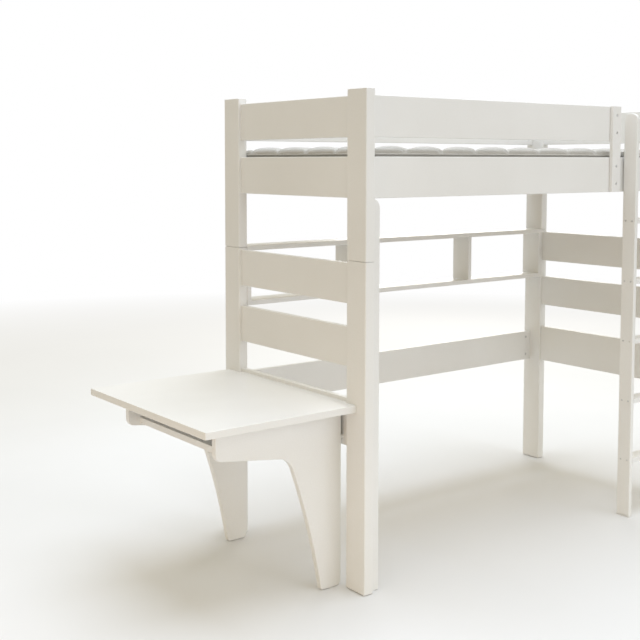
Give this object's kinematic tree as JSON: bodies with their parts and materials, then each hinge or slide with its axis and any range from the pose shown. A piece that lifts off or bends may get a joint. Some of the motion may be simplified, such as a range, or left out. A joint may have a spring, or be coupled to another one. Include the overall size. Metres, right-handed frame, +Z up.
{
  "type": "loft bed with desk",
  "caption": "White lacquered high sleeper with slatted base, mattress, guard rails, hook-on ladder, rear shelf unit and a desk on curved brackets at one short end.",
  "frame": {"origin": "the middle of the footprint, on the floor", "axes": "+X along the bed, away from the desk; +Y to the rear, the side with the shelves; +Z up"},
  "size_m": [2.793, 1.051, 1.985],
  "materials": {
    "white_lacquer": "satin white lacquer on board",
    "slat_wood": "planed and sanded, unlacquered",
    "dowel_wood": "fluted hardwood, glued",
    "mattress_cover": "quilted woven ticking",
    "tape_webbing": "woven webbing",
    "zinc_steel": "zinc plated",
    "glide_plastic": "moulded"
  },
  "bodies": {
    "bed_frame": {"post_lower_front_left": "white_lacquer", "post_lower_front_right": "white_lacquer", "post_lower_rear_left": "white_lacquer", "post_lower_rear_right": "white_lacquer", "post_upper_front_left": "white_lacquer", "post_upper_front_right": "white_lacquer", "post_upper_rear_left": "white_lacquer", "post_upper_rear_right": "white_lacquer", "end_guard_rail_left": "white_lacquer", "end_rail_upper_left": "white_lacquer", "end_rail_middle_left": "white_lacquer", "end_rail_lower_left": "white_lacquer", "end_rail_base_left": "white_lacquer", "end_guard_rail_right": "white_lacquer", "end_rail_upper_right": "white_lacquer", "end_rail_middle_right": "white_lacquer", "end_rail_lower_right": "white_lacquer", "end_rail_base_right": "white_lacquer", "side_rail_front": "white_lacquer", "side_rail_rear": "white_lacquer", "guard_rail_front": "white_lacquer", "guard_rail_rear": "white_lacquer", "brace_rail_rear": "white_lacquer", "guard_upright": "white_lacquer", "support_batten_left": "white_lacquer", "support_batten_right": "white_lacquer", "slat_ledge_front": "white_lacquer", "slat_ledge_rear": "white_lacquer", "shelf_board_upper": "white_lacquer", "shelf_board_lower": "white_lacquer", "shelf_end_left": "white_lacquer", "shelf_end_right": "white_lacquer", "shelf_divider_left": "white_lacquer", "shelf_divider_right": "white_lacquer", "desk_top": "white_lacquer", "desk_bracket_front": "white_lacquer", "desk_bracket_rear": "white_lacquer", "desk_storage_board": "white_lacquer", "desk_cleat": "white_lacquer", "slats": "slat_wood", "slat_tapes": "tape_webbing", "post_splice_dowels": "dowel_wood", "end_rail_dowels": "dowel_wood", "cam_bolts": "zinc_steel", "cam_locks": "zinc_steel", "batten_screws": "zinc_steel", "ledge_screws": "zinc_steel", "shelf_screws": "zinc_steel", "furniture_bolts": "zinc_steel", "barrel_nuts": "zinc_steel", "desk_bushes": "glide_plastic", "floor_glides": "glide_plastic"},
    "mattress": {"mattress": "mattress_cover"},
    "ladder": {"ladder_stile_left": "white_lacquer", "ladder_stile_right": "white_lacquer", "ladder_treads": "white_lacquer", "ladder_tread_screws": "zinc_steel", "ladder_hooks": "zinc_steel", "ladder_hook_screws": "zinc_steel", "ladder_feet": "glide_plastic"}
  },
  "joints": [
    {"name": "mattress_lift", "type": "slide", "parent": "bed_frame", "child": "mattress", "axis": [0, 0, 1], "range_m": [0, 0.3]},
    {"name": "ladder_lift", "type": "slide", "parent": "bed_frame", "child": "ladder", "axis": [0, 0, 1], "range_m": [0, 0.06]}
  ]
}
